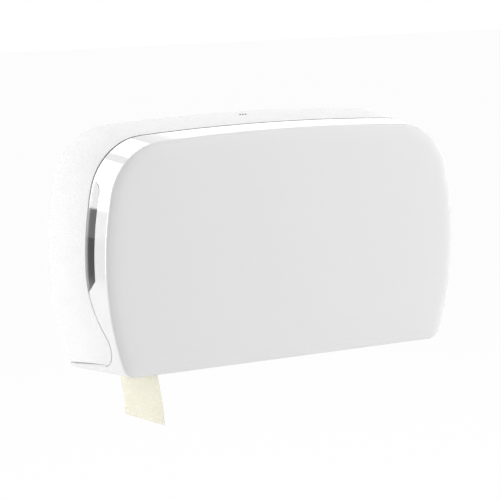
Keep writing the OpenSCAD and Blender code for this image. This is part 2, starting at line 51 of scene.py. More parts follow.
def makeCamera(v):
    a, e, r = (math.radians(v[k]) for k in ("azimuth", "elevation", "roll"))
    back = Vector((math.sin(a) * math.cos(e), -math.cos(a) * math.cos(e), math.sin(e)))
    right = Vector((math.cos(a), math.sin(a), 0))
    up = back.cross(right)
    right, up = right * math.cos(r) + up * math.sin(r), up * math.cos(r) - right * math.sin(r)
    spot = right * v["right"] + up * v["up"] + back * v["distance"] + Vector((0, 0, v["underside"]))
    camera = bpy.data.objects.new("camera", bpy.data.cameras.new("camera"))
    bpy.context.scene.collection.objects.link(camera)
    camera.data.lens = v["focalPixels"] / v["photoWidth"] * v["sensor"]
    camera.data.sensor_width = v["sensor"]
    turn = Matrix((right, up, back)).transposed().to_4x4()
    camera.matrix_world = Matrix.Translation(spot / 1000) @ turn
    bpy.context.scene.camera = camera


makeCamera(view)
bpy.context.scene.view_settings.view_transform = "Standard"


class Number:
    # a value in a material; arithmetic on it adds Math nodes
    def __init__(self, shading, socket):
        self.shading, self.socket = shading, socket

    def join(self, kind, a, b):
        node = self.shading.node("Math", {"operation": kind}, {0: a, 1: b})
        return Number(self.shading, node.outputs[0])

    def __add__(self, other):
        return self.join("ADD", self, other)

    def __sub__(self, other):
        return self.join("SUBTRACT", self, other)

    def __rsub__(self, other):
        return self.join("SUBTRACT", other, self)

    def __mul__(self, other):
        return self.join("MULTIPLY", self, other)

    def __truediv__(self, other):
        return self.join("DIVIDE", self, other)

    def __rtruediv__(self, other):
        return self.join("DIVIDE", other, self)

    def __or__(self, other):
        return self.join("MAXIMUM", self, other)

    __radd__, __rmul__, __ror__ = __add__, __mul__, __or__


class Shading:
    # the node tree of a material or of the world
    def __init__(self, tree):
        self.tree = tree
        tree.nodes.clear()

    def node(self, kind, settings, sockets):
        node = self.tree.nodes.new("ShaderNode" + kind)
        for key, value in settings.items():
            setattr(node, key, value)
        for key, value in sockets.items():
            self.feed(node.inputs[key], value)
        return node

    def feed(self, socket, value):
        if isinstance(value, Number):
            value = value.socket
        if isinstance(value, bpy.types.NodeSocket):
            self.tree.links.new(value, socket)
        elif isinstance(value, (tuple, list)) and len(socket.default_value) == 4:
            socket.default_value = tuple(value[:3]) + (1,)
        else:
            socket.default_value = value


class Paint(Shading):
    # one material, with its shader and the few patterns that the finishes share
    def __init__(self, name, color, roughness, **shader):
        self.material = bpy.data.materials.new(name)
        self.material.use_nodes = True
        super().__init__(self.material.node_tree)
        self.shader = self.node("BsdfPrincipled", {}, {"Base Color": color, "Roughness": roughness, **shader})
        self.end = self.node("OutputMaterial", {}, {"Surface": self.shader.outputs[0]})

    def place(self, stretch=(1, 1, 1)):
        where = self.node("TexCoord", {}, {}).outputs["Object"]
        return self.node("Mapping", {"vector_type": "POINT"}, {"Vector": where, "Scale": stretch}).outputs[0]

    def grain(self, size, detail, stretch=(1, 1, 1)):
        # cloudy pattern with blobs of about that size in metres, 0 to 1
        node = self.node("TexNoise", {}, {"Vector": self.place(stretch), "Scale": 1 / size, "Detail": detail})
        return Number(self, node.outputs["Fac"])

    def pits(self, size, stretch=(1, 1, 1)):
        # round dimples, about that size apart in metres
        node = self.node("TexVoronoi", {"feature": "SMOOTH_F1"},
                         {"Vector": self.place(stretch), "Scale": 1 / size, "Smoothness": 0.6})
        return Number(self, node.outputs["Distance"])

    def along(self, axis, start, end):
        # grows from 0 to 1 between two places on an axis, in metres
        where = self.node("SeparateXYZ", {}, {"Vector": self.place()})
        return (Number(self, where.outputs[axis]) - start) / (end - start)

    def tint(self, low, high, amount):
        node = self.node("Mix", {"data_type": "RGBA"}, {0: amount, 6: low, 7: high})
        self.feed(self.shader.inputs["Base Color"], node.outputs[2])

    def rough(self, pattern, middle, spread):
        # roughness that follows a pattern, about its middle value
        self.feed(self.shader.inputs["Roughness"], pattern * spread + (middle - spread / 2))

    def bump(self, height, depth):
        node = self.node("Bump", {}, {"Height": height, "Distance": depth})
        self.feed(self.shader.inputs["Normal"], node.outputs[0])


plastic = {"cloud": 0.03, "cloudShare": 0.4, "pitSize": 1.7, "pitShare": 0.5, "roughSpread": 0.08, "detail": 3}
smoked = {"roughness": 0.05, "roughSpread": 0.02, "grain": 0.006, "detail": 2, "alpha": 0.9, "ior": 2.0}
steel = {"lines": 0.0012, "detail": 2, "shade": 0.88, "roughSpread": 0.12, "depth": 0.00004}
paper = {"roughness": 0.9, "crepe": 0.0009, "crepeStretch": (1, 1, 3.2), "detail": 3, "dots": 0.0034,
         "dotStretch": (1, 1, 1.5), "crepeShade": 0.45, "dotShade": 0.9, "crepeBump": 0.4, "depth": 0.0009}
board = {"roughness": 0.85, "fibre": 0.002, "detail": 4, "stretch": (1, 0.25, 1), "shade": 0.75, "depth": 0.0002}


def mouldedPlastic(name, color, roughness, grain, depth, drift=0.02, **shader):
    # plastic with an eroded grain and a faint drift of its shade
    p = plastic
    paint = Paint(name, color, roughness, **shader)
    darker = tuple(c * (1 - drift) for c in color)
    fine = paint.grain(grain, p["detail"])
    cloud = paint.grain(p["cloud"], p["detail"])
    paint.tint(darker, color, cloud * p["cloudShare"] + fine * (1 - p["cloudShare"]))
    paint.bump(fine + paint.pits(grain * p["pitSize"]) * p["pitShare"], depth)
    paint.rough(fine, roughness, p["roughSpread"])
    return paint.material


def smokedClear(name, paintedReflectionColor, color, strip):
    # smoked plastic with a painted reflection: its colour is paler along its rear edge
    s = smoked
    paint = Paint(name, color, s["roughness"], **{"Alpha": s["alpha"], "IOR": s["ior"]})
    paint.tint(paintedReflectionColor, color, paint.along("Y", *strip))
    paint.rough(paint.grain(s["grain"], s["detail"]), s["roughness"], s["roughSpread"])
    return paint.material


def turnedSteel(name, color, roughness, stretch):
    # metal with fine lines, as a lathe or rolling leaves them
    s = steel
    paint = Paint(name, color, roughness, **{"Metallic": 1.0})
    lines = paint.grain(s["lines"], s["detail"], stretch)
    paint.tint(tuple(c * s["shade"] for c in color), color, lines)
    paint.rough(lines, roughness, s["roughSpread"])
    paint.bump(lines, s["depth"])
    return paint.material


def embossedPaper(name, light, shade):
    # soft creped tissue with rows of pressed dots
    p = paper
    paint = Paint(name, light, p["roughness"])
    crepe = paint.grain(p["crepe"], p["detail"], p["crepeStretch"])
    dots = paint.pits(p["dots"], p["dotStretch"])
    paint.tint(shade, light, crepe * p["crepeShade"] + dots * p["dotShade"])
    paint.bump(crepe * p["crepeBump"] + dots, p["depth"])
    return paint.material


def rolledBoard(name, color):
    # grey-brown board with long fibres
    b = board
    paint = Paint(name, color, b["roughness"])
    fibre = paint.grain(b["fibre"], b["detail"], b["stretch"])
    paint.tint(tuple(c * b["shade"] for c in color), color, fibre)
    paint.bump(fibre, b["depth"])
    return paint.material


finishes = {
    "shell_white": mouldedPlastic("texturedWhite", (0.93, 0.93, 0.93), 0.6, grain=0.0018, depth=0.0008, drift=0.1),
    "rim_white": mouldedPlastic("glossyWhite", (0.83, 0.83, 0.83), 0.05, grain=0.004, depth=0.000002, drift=0.005,
                                **{"IOR": 1.8}),
    "panel_white": mouldedPlastic("mattWhite", (0.80, 0.80, 0.80), 0.55, grain=0.0011, depth=0.00006, drift=0.01),
    # the pale grey here is a painted reflection along the window's rear edge
    "smoked_window": smokedClear("smokedClear", (0.62, 0.62, 0.62), (0.045, 0.045, 0.045), (-0.0685, -0.0742)),
    "hub_grey": mouldedPlastic("hubGrey", (0.42, 0.43, 0.45), 0.42, grain=0.0012, depth=0.00008),
    "lock_grey": mouldedPlastic("lockGrey", (0.10, 0.105, 0.115), 0.45, grain=0.0012, depth=0.00008),
    "axle_steel": turnedSteel("turnedSteel", (0.62, 0.62, 0.64), 0.3, (1, 9, 1)),
    "screw_steel": turnedSteel("zincSteel", (0.55, 0.55, 0.57), 0.38, (1, 1, 1)),
    "tooth_steel": turnedSteel("brightSteel", (0.68, 0.68, 0.7), 0.25, (1, 8, 1)),
    "brake_rubber": mouldedPlastic("brakeRubber", (0.02, 0.02, 0.02), 0.8, grain=0.0008, depth=0.0001),
    "tissue": embossedPaper("embossedTissue", (0.89, 0.865, 0.735), (0.845, 0.815, 0.67)),
    "core_board": rolledBoard("coreBoard", (0.42, 0.30, 0.19)),
}
for row in frame["record"]["subparts"]:
    for materialSlot in frame["nodes"][row["node"]].material_slots:
        materialSlot.material = finishes[row["material_slot"]]
print("finishes made:", len(finishes))


caseForm = {"width": 504, "height": 277, "bandDepth": 105, "draft": 11.5, "topRadius": 3060, "sideRadius": 374,
            "widestAt": 133, "upperCorner": 74, "lowerCorner": 9, "frontCorner": 18, "leastRadius": 5,
            "wall": 2.8, "innerEdge": 0.3}
steps = {"top": 22, "upper": 28, "side": 72, "lower": 26, "base": 12}


def arc(c, r, a, b, count):
    turns = [math.radians(a + (b - a) * i / count) for i in range(count + 1)]
    return [(c[0] + r * math.cos(t), c[1] + r * math.sin(t)) for t in turns]


def meet(p, rp, q, rq):
    # where the circles about p and q cross
    dx, dy = q[0] - p[0], q[1] - p[1]
    d = math.hypot(dx, dy)
    a = (rp * rp - rq * rq + d * d) / (2 * d)
    h = math.sqrt(rp * rp - a * a)
    return p[0] + (dx * a + dy * h) / d, p[1] + (dy * a - dx * h) / d


def outline(inset, corner):
    # the case seen from the room, clockwise from the top centre; the counts never change
    f = caseForm
    low = max(corner - inset, f["leastRadius"])
    top = (0, f["height"] - f["topRadius"])
    side = (f["width"] / 2 - f["sideRadius"], f["widestAt"])
    up = meet(top, f["topRadius"] - f["upperCorner"], side, f["sideRadius"] - f["upperCorner"])
    reach, drop = f["sideRadius"] - inset - low, inset + low - f["widestAt"]
    heel = (side[0] + math.sqrt(reach * reach - drop * drop), inset + low)
    aTop = math.degrees(math.atan2(up[1] - top[1], up[0] - top[0]))
    aUp = math.degrees(math.atan2(up[1] - side[1], up[0] - side[0]))
    aLow = math.degrees(math.atan2(heel[1] - side[1], heel[0] - side[0]))
    half = arc(top, f["topRadius"] - inset, 90, aTop, steps["top"])
    half += arc(up, f["upperCorner"] - inset, aTop, aUp, steps["upper"])[1:]
    half += arc(side, f["sideRadius"] - inset, aUp, aLow, steps["side"])[1:]
    half += arc(heel, low, aLow, -90, steps["lower"])[1:]
    half += [(heel[0] * (1 - k / steps["base"]), inset) for k in range(1, steps["base"] + 1)]
    return half + [(-x, h) for x, h in half[-2:0:-1]]


def section(inset, depth):
    # the outline at a depth: the case gets smaller towards the front
    f = caseForm
    share = min(depth / f["bandDepth"], 1)
    size = 1 - 2 * f["draft"] / f["width"] * share
    corner = f["lowerCorner"] + (f["frontCorner"] - f["lowerCorner"]) * share
    return [(x * size, h * size) for x, h in outline(inset, corner)]


def ring(inset, depth):
    return [(x, depth, h) for x, h in section(inset, depth)]


wallRings = [[section(g, d) for d in (0, caseForm["bandDepth"])] for g in (0, caseForm["wall"])]
around = len(wallRings[0][0])
baseCentre = (around + 1) // 2


def mix(p, q, t):
    return tuple(a + (b - a) * t for a, b in zip(p, q))


def casePoint(i, depth, inset):
    # point on the case's wall: i goes round it, depth from the wall of the room, inset into the plastic
    i %= around
    share = depth / caseForm["bandDepth"]
    outer, inner = (mix(pair[0][i], pair[1][i], share) for pair in wallRings)
    x, h = mix(outer, inner, inset / caseForm["wall"])
    return x, depth, h


def between(t, depth, inset=0):
    # the same at a place between two of the outline's points
    i = int(math.floor(t))
    return mix(casePoint(i, depth, inset), casePoint(i + 1, depth, inset), t - i)


# side view of the seam between the shell and the cover
seam = {"depth": 67.4, "gap": 1.2, "sweepAt": 118, "lobeFront": 91.5, "lobeRadius": 24, "lobeAt": 34.5, "lip": 7.4}


def seamDepth(h, grow):
    # how far forward the seam lies at a height: straight, an S-sweep, the lobe and the thin lip below it
    s = seam
    lobe = (s["lobeFront"] - s["lobeRadius"], s["lobeAt"])
    across, rise = s["depth"] - lobe[0], s["sweepAt"] - lobe[1]
    sweepRadius = (across ** 2 + rise ** 2 - s["lobeRadius"] ** 2) / (2 * (s["lobeRadius"] - across))
    turn = math.asin(rise / (sweepRadius + s["lobeRadius"]))
    join = lobe[1] + s["lobeRadius"] * math.sin(turn)
    away = (lobe[0], lobe[1] - s["lip"])
    slope = math.atan2(away[1], away[0]) - math.asin(s["lobeRadius"] / math.hypot(*away))
    radius = s["lobeRadius"] + grow
    heel = (lobe[0] + radius * math.sin(slope), lobe[1] - radius * math.cos(slope))
    if h >= s["sweepAt"]:
        return s["depth"] + grow
    if h >= join:
        return s["depth"] + sweepRadius - math.sqrt((sweepRadius - grow) ** 2 - (s["sweepAt"] - h) ** 2)
    if h >= heel[1]:
        return lobe[0] + math.sqrt(max(radius ** 2 - (h - lobe[1]) ** 2, 0))
    return max(heel[0] - (heel[1] - h) / math.tan(slope), 0)


def solve(test, low, high, rounds=40):
    # the place where a falling test crosses zero, by halving
    for _ in range(rounds):
        middle = (low + high) / 2
        low, high = (middle, high) if test(middle) > 0 else (low, middle)
    return (low + high) / 2


def seamOn(i, grow):
    return solve(lambda d: seamDepth(casePoint(i, d, 0)[2], grow) - d, 0, caseForm["bandDepth"])


def seamPlaces(grow, least):
    # places round the case, over its top from one lower corner to the other, where the seam is that far forward
    right = [i for i in range(baseCentre) if seamOn(i, grow) >= least]
    return [around - i for i in right[:0:-1]] + right


def turnsOf(count):
    return [2 * math.pi * j / count for j in range(count)]


def quarter(count):
    return [math.pi / 2 * k / count for k in range(count + 1)]


def put(point):
    x, depth, h = point
    return Vector((x, -depth, h + view["underside"])) / 1000


class Mesh:
    # closed solids gathered into one piece; lengths in millimetres, depth from the wall
    def __init__(self):
        self.bm = bmesh.new()

    def rows(self, rings):
        return [[self.bm.verts.new(put(p)) for p in points] for points in rings]

    def band(self, a, b):
        # quads between two rings of equal counts
        for j in range(len(a)):
            k = (j + 1) % len(a)
            self.bm.faces.new((a[j], a[k], b[k], b[j]))

    def loft(self, rings, poles=False):
        # rings joined one to the next; the ends are capped, or meet in a pole
        rows = self.rows(rings)
        for a, b in zip(rows, rows[1:]):
            self.band(a, b)
        for row, points in ((rows[0], rings[0]), (rows[-1], rings[-1])):
            if poles:
                tip = self.bm.verts.new(put(tuple(sum(p[k] for p in points) / len(row) for k in range(3))))
                for j in range(len(row)):
                    self.bm.faces.new((row[j], row[(j + 1) % len(row)], tip))
            else:
                self.bm.faces.new(row)
        return self

    def wheel(self, rings):
        # rings joined in a loop, as round a tyre
        rows = self.rows(rings)
        for a, b in zip(rows, rows[1:] + rows[:1]):
            self.band(a, b)
        return self

    def box(self, x, depth, h, edge=0.3):
        # box with chamfered edges along its height
        e = min(edge, (x[1] - x[0]) / 3, (depth[1] - depth[0]) / 3, (h[1] - h[0]) / 3)

        def level(height, inset):
            x0, x1, d0, d1 = x[0] + inset, x[1] - inset, depth[0] + inset, depth[1] - inset
            return [(x0 + e, d0, height), (x1 - e, d0, height), (x1, d0 + e, height), (x1, d1 - e, height),
                    (x1 - e, d1, height), (x0 + e, d1, height), (x0, d1 - e, height), (x0, d0 + e, height)]

        return self.loft([level(h[0], e), level(h[0] + e, 0), level(h[1] - e, 0), level(h[1], e)])

    def turned(self, x, h, profile, count):
        # solid of revolution along the depth: the profile gives (depth, radius)
        return self.loft([[(x + radius * math.cos(t), depth, h + radius * math.sin(t)) for t in turnsOf(count)]
                          for depth, radius in profile])

    def tube(self, x, h, profile, count, wobble=None):
        # the same with a bore: the profile runs round the wall and closes on itself
        rings = []
        for depth, radius in profile:
            points = []
            for t in turnsOf(count):
                r = radius + (wobble(depth, radius, t) if wobble else 0)
                points.append((x + r * math.cos(t), depth, h + r * math.sin(t)))
            rings.append(points)
        return self.wheel(rings)

    def across(self, x, points):
        # side view of (depth, height) points drawn out along the width
        return self.loft([[(end, d, h) for d, h in points] for end in x])

    def piece(self, name, angle=30):
        bmesh.ops.recalc_face_normals(self.bm, faces=self.bm.faces)
        obj = newObject(name, self.bm)
        smooth(obj, angle)
        return obj


def newObject(name, bm):
    data = bpy.data.meshes.new(name)
    bm.to_mesh(data)
    bm.free()
    obj = bpy.data.objects.new(name, data)
    bpy.context.scene.collection.objects.link(obj)
    return obj


def smooth(obj, angle=30):
    for face in obj.data.polygons:
        face.use_smooth = True
    obj.data.set_sharp_from_angle(angle=math.radians(angle))


def settle(obj):
    # the result of the modifiers becomes the piece's own mesh
    bpy.context.view_layer.update()
    result = bpy.data.meshes.new_from_object(obj.evaluated_get(bpy.context.evaluated_depsgraph_get()))
    obj.modifiers.clear()
    obj.data = result
    smooth(obj)


def cut(obj, cutter):
    # takes the cutter's solids out of the piece, for good
    change = obj.modifiers.new("cut", "BOOLEAN")
    change.operation, change.solver, change.object = "DIFFERENCE", "EXACT", cutter
    settle(obj)
    bpy.data.objects.remove(cutter)


def merge(name, parts):
    # several pieces become one mesh
    bm = bmesh.new()
    for part in parts:
        bm.from_mesh(part.data)
        bpy.data.objects.remove(part)
    obj = newObject(name, bm)
    smooth(obj)
    return obj


def dress(obj, slotName, body, *replaced):
    obj.data.materials.clear()
    obj.data.materials.append(finishes[slotName])
    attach(obj, body)
    if replaced:
        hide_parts(*replaced)
    return obj


shell = {"edge": 0.3, "rearTurns": (0, 0.52, 1.05, math.pi / 2), "leastFront": 4.5, "back": 3, "sink": 0.4,
         "screwRise": 120, "screwWidth": 340, "screwAt": 150, "screwRadius": 2.75, "screwCut": (-2, 8),
         "screwCount": 32, "boss": 2, "bossRadius": 9, "bossEdge": 0.4, "bossCount": 40,
         "axleX": 119, "axleAt": 130, "pad": 3, "padRadius": 28, "padEdge": 0.5, "padCount": 72,
         "keyDepth": 20, "keyPitch": 3.8, "keyRadius": 0.9, "keyCut": (262, 282), "keyCount": 24,
         "hinge": (6, 3.5), "lugX": 152, "lugWidth": 16, "lugRadius": 3.2, "lugTop": 16, "lugIn": 0.6, "lugFoot": 1.9,
         "lugRoot": 6, "lockPad": (-33.5, 33.5), "lockPadHeights": (234, 264)}


def shellWall(places):
    # the bent wall with a rounded rim at the room's wall and along the seam
    wall, inside = caseForm["wall"], caseForm["innerEdge"]
    rings = []
    for i in places:
        front = seamOn(i, 0)
        e = min(shell["edge"], front / 4)
        path = [(e * (1 - math.cos(t)), e * (1 - math.sin(t))) for t in shell["rearTurns"]]
        path += [(front - e * (1 - math.sin(t)), e * (1 - math.cos(t))) for t in quarter(3)]
        path += [(front, wall - inside), (front - inside, wall), (0, wall)]
        rings.append([casePoint(i, d, g) for d, g in path])
    return Mesh().loft(rings).piece("shellWall")


def screwSpots(side):
    s = shell
    return [(side * s["screwWidth"] / 2, s["screwAt"] + way * s["screwRise"] / 2) for way in (-1, 1)]


def hingeLug():
    # side view: an eye round the pin, and an arm up to the shell's back
    s, r = shell, shell["lugRadius"]
    depth, height = s["hinge"]
    rear, front = depth - r + s["lugIn"], depth + r - s["lugIn"]
    eye = [(depth + r * math.cos(t), height + r * math.sin(t)) for t in map(math.radians, range(144, 397, 12))]
    top = [(front, s["lugTop"] - 1), (front - 1, s["lugTop"])]
    return [(rear, s["lugTop"]), (rear, height + s["lugFoot"])] + eye + top


def makeShell():
    s = shell
    places = seamPlaces(0, s["leastFront"])
    wall = shellWall(places)
    keys = Mesh()
    for k in (-1, 0, 1):
        hole = [(k * s["keyPitch"] + s["keyRadius"] * math.cos(t), s["keyDepth"] + s["keyRadius"] * math.sin(t))
                for t in turnsOf(s["keyCount"])]
        keys.loft([[(x, d, h) for x, d in hole] for h in s["keyCut"]])
    cut(wall, keys.piece("keys"))
    inner = [casePoint(i, 0, caseForm["wall"]) for i in places]
    plate = Mesh().loft([[(x, depth, h) for x, _, h in inner] for depth in (0, s["back"])]).piece("plate")
    holes, rest = Mesh(), Mesh()
    back, boss, pad = s["back"] - s["sink"], s["back"] + s["boss"], s["back"] + s["pad"]
    for side in (-1, 1):
        for x, h in screwSpots(side):
            holes.turned(x, h, [(end, s["screwRadius"]) for end in s["screwCut"]], s["screwCount"])
            r, e = s["bossRadius"], s["bossEdge"]
            rest.tube(x, h, [(back, s["screwRadius"]), (back, r), (boss - e, r), (boss, r - e),
                             (boss, s["screwRadius"])], s["bossCount"])
        r, e = s["padRadius"], s["padEdge"]
        rest.turned(side * s["axleX"], s["axleAt"], [(back, r), (pad - e, r), (pad, r - e)], s["padCount"])
        width = (side * s["lugX"] - s["lugWidth"] / 2, side * s["lugX"] + s["lugWidth"] / 2)
        rest.across(width, hingeLug())
        rest.box(width, (back, s["hinge"][0]), (s["lugTop"] - s["lugRoot"], s["lugTop"]))
    cut(plate, holes.piece("holes"))
    rest.box(s["lockPad"], (back, pad), s["lockPadHeights"], s["padEdge"])
    dress(merge("texturedRearShell", [wall, plate, rest.piece("rest")]), "shell_white", "case", "rear_shell")


makeShell()


# painted shade: a dark strip in the seam's gap; upper and lower are its greys, darker towards the top
seamShadeStrip = {"reach": 1.05, "rear": 11, "leastFront": 12.5, "overlap": 0.05, "inset": (-0.12, 2.5), "edge": 0.15,
        "upper": (0.14, 0.14, 0.145), "lower": (0.74, 0.74, 0.74), "paintedShadeFade": (0.03, 0.1), "roughness": 0.7}


def makeSeamShadeStrip():
    # dark strip on the shell's edge, set in the seam's gap as painted shade, which makes the seam read as a dark line
    rings = []
    (outer, inner), e = seamShadeStrip["inset"], seamShadeStrip["edge"]
    for i in seamPlaces(seamShadeStrip["reach"], seamShadeStrip["leastFront"]):
        rear, front = max(seamOn(i, 0) - seamShadeStrip["overlap"], seamShadeStrip["rear"]), seamOn(i, seamShadeStrip["reach"])
        path = [(rear, outer), (front - e, outer), (front, outer + e), (front, inner - e), (front - e, inner),
                (rear, inner)]
        rings.append([casePoint(i, d, g) for d, g in path])
    strip = dress(Mesh().loft(rings).piece("paintedSeamShade"), "lock_grey", "case")
    # painted shade: the strip's grey goes from pale below to dark above
    paint = Paint("paintedSeamShadeGrey", seamShadeStrip["upper"], seamShadeStrip["roughness"])
    paint.tint(seamShadeStrip["lower"], seamShadeStrip["upper"], paint.along("Z", *seamShadeStrip["paintedShadeFade"]))
    strip.data.materials[0] = paint.material


makeSeamShadeStrip()


class Tree:
    # a geometry tree with named number inputs
    def __init__(self, name, sizes):
        self.group = bpy.data.node_groups.new(name, "GeometryNodeTree")
        self.group.interface.new_socket("Geometry", in_out="INPUT", socket_type="NodeSocketGeometry")
        self.group.interface.new_socket("Geometry", in_out="OUTPUT", socket_type="NodeSocketGeometry")
        self.values = {}
        for key, value in sizes.items():
            kind = "NodeSocketInt" if isinstance(value, int) else "NodeSocketFloat"
            self.values[self.group.interface.new_socket(key, in_out="INPUT", socket_type=kind).identifier] = value
        self.start = self.group.nodes.new("NodeGroupInput")
        self.end = self.group.nodes.new("NodeGroupOutput")

    def node(self, kind, settings, sockets):
        node = self.group.nodes.new(kind)
        for key, value in settings.items():
            setattr(node, key, value)
        for key, value in sockets.items():
            if isinstance(value, bpy.types.NodeSocket):
                self.group.links.new(value, node.inputs[key])
            else:
                node.inputs[key].default_value = value
        return node

    def run(self, geometry, seedPiece):
        # the tree's result on the seed piece becomes that piece's plain mesh
        self.group.links.new(geometry, self.end.inputs[0])
        change = seedPiece.modifiers.new("repeat", "NODES")
        change.node_group = self.group
        for key, value in self.values.items():
            change[key] = value
        settle(seedPiece)
        return seedPiece


collars = {"count": 3, "pitch": 3.8, "outer": 0.92, "inner": 0.5, "rise": 0.9, "below": 1.0, "edge": 0.25,
           "depth": 20, "turns": 24}


def makeCollars():
    # collars round the key holes: one turned ring, repeated along a line
    c, f = collars, caseForm
    height = f["height"] * (1 - 2 * f["draft"] / f["width"] * c["depth"] / f["bandDepth"])
    low, top, e = height - c["below"], height + c["rise"], c["edge"]
    profile = [(low, c["inner"]), (low, c["outer"]), (top - e, c["outer"]), (top, c["outer"] - e), (top, c["inner"])]
    rings = [[(-c["pitch"] + r * math.cos(t), c["depth"] + r * math.sin(t), h) for t in turnsOf(c["turns"])]
             for h, r in profile]
    seed = Mesh().wheel(rings).piece("keyCollars")
    tree = Tree("rowOfCollars", {"Count": c["count"], "Pitch": c["pitch"] / 1000})
    step = tree.node("ShaderNodeCombineXYZ", {}, {"X": tree.start.outputs["Pitch"]})
    line = tree.node("GeometryNodeMeshLine", {"mode": "OFFSET"},
                     {"Count": tree.start.outputs["Count"], "Offset": step.outputs[0]})
    spots = tree.node("GeometryNodeInstanceOnPoints", {},
                      {"Points": line.outputs[0], "Instance": tree.start.outputs["Geometry"]})
    real = tree.node("GeometryNodeRealizeInstances", {}, {"Geometry": spots.outputs[0]})
    painted = tree.node("GeometryNodeSetMaterial", {},
                        {"Geometry": real.outputs[0], "Material": finishes["lock_grey"]})
    dress(tree.run(painted.outputs[0], seed), "lock_grey", "case")


makeCollars()
print("rear shell made")


window = {"front": 85, "top": 217, "low": 91, "radius": 12.5, "play": 0.15, "step": 0.1, "edge": 0.35, "bevel": 0.9,
          "support": 0.15, "sink": 0.1, "leastWidth": 0.05, "edgeShare": 5, "bevelShare": 4,
          "rowStep": 3, "lift": 0.8, "lowRows": (4, 2.5, 1.2, 0.4), "middleDepth": 75}


def windowFront(h, inset):
    # front edge of the window: sloped below, straight, and rounded at the top
    w = window
    front, top = w["front"] - inset, w["top"] - inset
    depth = min(seam["depth"] + (h - w["low"] - inset * math.sqrt(2)), front)
    rise = h - (top - w["radius"])
    if rise > 0:
        depth = min(depth, front - w["radius"] + math.sqrt(max(w["radius"] ** 2 - rise ** 2, 0)))
    return depth


def windowHeights(gap):
    # heights of the rows from the top down, closer where the outline bends
    w = window
    top, low = w["top"] - w["play"], w["low"] + gap + w["lift"]
    heights = [top] + [top - w["radius"] * (1 - math.cos(math.radians(a))) for a in range(6, 91, 6)]
    while heights[-1] - w["rowStep"] > low + w["lowRows"][0]:
        heights.append(heights[-1] - w["rowStep"])
    return heights + [low + rise for rise in w["lowRows"]]


def makeWindow(side):
    # a skin between the seam and the frame's opening, set just below the frame's face
    w, inner, gap = window, caseForm["wall"] - window["sink"], seam["gap"] + window["step"]
    rows = []
    for h in windowHeights(gap):
        # the place round the case where the wall has that height near the seam
        spot = solve(lambda t: between(t, w["middleDepth"])[2] - h, steps["top"], baseCentre - 1 - steps["base"])
        rear = seamDepth(h, gap)
        front = max(windowFront(h, w["play"]), rear + w["leastWidth"])
        e = min(w["edge"], (front - rear) / w["edgeShare"])
        bevel = min(w["bevel"], (front - rear) / w["bevelShare"])
        path = [(rear + bevel, w["step"]), (rear + bevel + w["support"], w["step"]), (front - 1.5 * e, w["step"]),
                (front - e, w["step"]), (front, w["step"] + e), (front, inner),
                (rear, inner), (rear, w["step"] + bevel / 2)]
        points = [between(spot, d, g) for d, g in path]
        rows.append([(side * x, d, height) for x, d, height in points])
    name = "left" if side < 0 else "right"
    dress(Mesh().loft(rows).piece(name + "LevelWindow"), "smoked_window", "cover", "window_" + name)


for windowSide in (-1, 1):
    makeWindow(windowSide)
print("windows made")


cover = {"seamEdge": (1.2, 1.5), "seamFlat": 0.5, "frontEdge": 0.5, "frontRound": 0.12,
         "flange": (2, 14), "flangeThick": 3, "sweep": 3.9, "sweepDepth": 3,
         "exitIn": 110, "exitWidth": 84, "exitDepth": (11.8, 98.2), "baseCut": (-3, 3.6),
         "gripDepth": (49.7, 60.3), "gripX": (14.1, 111), "windowCut": (200, 262), "windowBack": 4,
         "notchHalf": 8.3, "notchDepth": (-1, 10.8), "notchHeights": (-3, 9),
         "knuckle": 3.2, "pinHalf": 20, "knuckleWeb": [(10.8, 0.3), (10.8, 2.8), (8.9, 2.9), (8, 5.9)],
         "shutterTop": 6.3, "shutterLow": 4.3, "play": 0.3, "lowPlay": 0.1, "railX": (7.6, 196.8), "railOut": 2.2,
         "railIn": 0.8, "railFoot": 2.4, "rail": 1.4, "lip": 1.6,
         "strikerSeat": ((-12, 12), (73, 93), (262.5, 265.5)), "seatEdge": 0.4, "sharp": 0.01}


def frameWall():
    # the band round the case, with a soft edge along the seam and clear of the hinge lugs
    c, wall, inside, band = cover, caseForm["wall"], caseForm["innerEdge"], caseForm["bandDepth"]
    e, tight = c["frontEdge"], c["frontRound"]
    down, along = c["seamEdge"]
    depth, height = shell["hinge"]
    rings = []
    for i in range(around):
        start = seamOn(i, seam["gap"])
        h = casePoint(i, c["sweepDepth"], 0)[2]
        if h < height + c["sweep"]:
            start = max(start, depth - math.sqrt(c["sweep"] ** 2 - (h - height) ** 2))
        path = [(start, wall - inside)]
        path += [(start + along * (1 - math.cos(t)), down * (1 - math.sin(t))) for t in quarter(5)]
        path += [(start + along + c["seamFlat"], 0), (band - 2 * e, 0), (band - e, 0), (band - tight, tight),
                 (band, e), (band, wall), (start + inside, wall)]
        rings.append([casePoint(i, d, g) for d, g in path])
    return Mesh().wheel(rings).piece("frameWall")


def windowOpening():
    # side view of the opening, open towards the seam
    w, rear = window, seam["depth"] - cover["windowBack"]
    bend = [(w["front"] - w["radius"] * (1 - math.cos(t)), w["top"] - w["radius"] + w["radius"] * math.sin(t))
            for t in map(math.radians, range(90, -1, -6))]
    slope = [(w["front"], w["low"] + w["front"] - seam["depth"]), (rear, w["low"] - cover["windowBack"])]
    return [(rear, w["top"])] + bend + slope


def addKnuckles(more):
    # two eyes beside each hinge lug
    depth, height = shell["hinge"]
    r = cover["knuckle"]
    eye = [(depth + r * math.cos(t), height + r * math.sin(t)) for t in map(math.radians, range(90, 271, 10))]
    for side in (-1, 1):
        for a, b in ((-cover["pinHalf"], -cover["notchHalf"]), (cover["notchHalf"], cover["pinHalf"])):
            more.across((side * shell["lugX"] + a, side * shell["lugX"] + b), eye + cover["knuckleWeb"])


